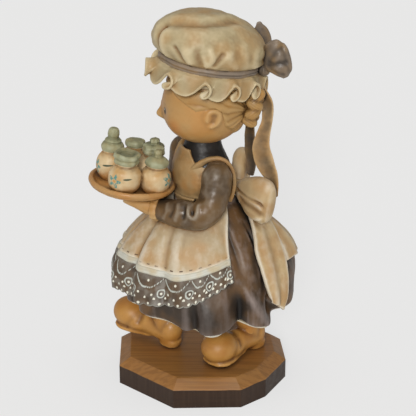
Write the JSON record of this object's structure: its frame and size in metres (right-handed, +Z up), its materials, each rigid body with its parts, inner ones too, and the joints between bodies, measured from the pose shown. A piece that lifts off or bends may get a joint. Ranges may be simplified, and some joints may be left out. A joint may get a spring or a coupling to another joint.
{
  "type": "carved child figurine",
  "caption": "Carved and painted wooden figurine of a child in a frilled bonnet and laced apron who walks with a tray of covered jars, on a chamfered block.",
  "frame": {"origin": "On the flat underside of the base, below the middle of the figure", "axes": "+Z is up, the child walks and looks along -Y, and +X is the child's left side"},
  "size_m": [0.0647, 0.0803, 0.1492],
  "materials": {
    "stained_base": "brown stain and satin varnish",
    "raw_dowel": "bare wood",
    "painted_shoe": "honey stain, satin",
    "painted_cream": "cream glaze, satin",
    "painted_dress": "dark brown glaze, satin",
    "painted_apron": "cream glaze, satin",
    "painted_lace": "dark glaze with pale painted lace",
    "painted_pinafore": "tan glaze, satin",
    "painted_skin": "thin warm glaze, satin",
    "painted_hair": "golden stain, satin",
    "painted_bonnet": "cream glaze, satin",
    "painted_ribbon": "grey-brown glaze, satin",
    "stained_tray": "honey stain, satin",
    "painted_jar": "cream glaze with painted flowers",
    "painted_cover": "grey-green glaze, satin"
  },
  "bodies": {
    "root": {"base": "stained_base", "base_dowel_left": "raw_dowel", "base_dowel_right": "raw_dowel", "neck_dowel": "raw_dowel", "shoe_left": "painted_shoe", "shoe_right": "painted_shoe", "leg_left": "painted_shoe", "leg_right": "painted_shoe", "petticoat": "painted_cream", "dress_skirt": "painted_dress", "dress_yoke": "painted_dress", "sleeve_left": "painted_dress", "sleeve_right": "painted_dress", "apron_skirt": "painted_apron", "apron_hem_band": "painted_cream", "apron_lace": "painted_lace", "apron_waistband": "painted_apron", "apron_bow_knot": "painted_apron", "apron_bow_loop_left": "painted_apron", "apron_bow_loop_right": "painted_apron", "apron_bow_tail_left": "painted_apron", "apron_bow_tail_right": "painted_apron", "pinafore_bodice": "painted_pinafore", "pinafore_bib": "painted_pinafore", "pinafore_strap_left": "painted_pinafore", "pinafore_strap_right": "painted_pinafore", "cuff_left": "painted_skin", "cuff_right": "painted_skin", "hand_left": "painted_skin", "hand_right": "painted_skin", "head": "painted_skin", "hair": "painted_hair", "hair_plait": "painted_hair", "bonnet_crown": "painted_bonnet", "bonnet_frill": "painted_bonnet", "bonnet_band": "painted_ribbon", "bonnet_bow_knot": "painted_ribbon", "bonnet_bow_loop_left": "painted_ribbon", "bonnet_bow_loop_right": "painted_ribbon", "bonnet_tail_left": "painted_ribbon", "bonnet_tail_right": "painted_ribbon", "tray": "stained_tray", "jar_1": "painted_jar", "jar_2": "painted_jar", "jar_3": "painted_jar", "jar_4": "painted_jar", "jar_5": "painted_jar", "jar_cover_1": "painted_cover", "jar_cover_2": "painted_cover", "jar_cover_3": "painted_cover", "jar_cover_4": "painted_cover", "jar_cover_5": "painted_cover"}
  },
  "joints": []
}
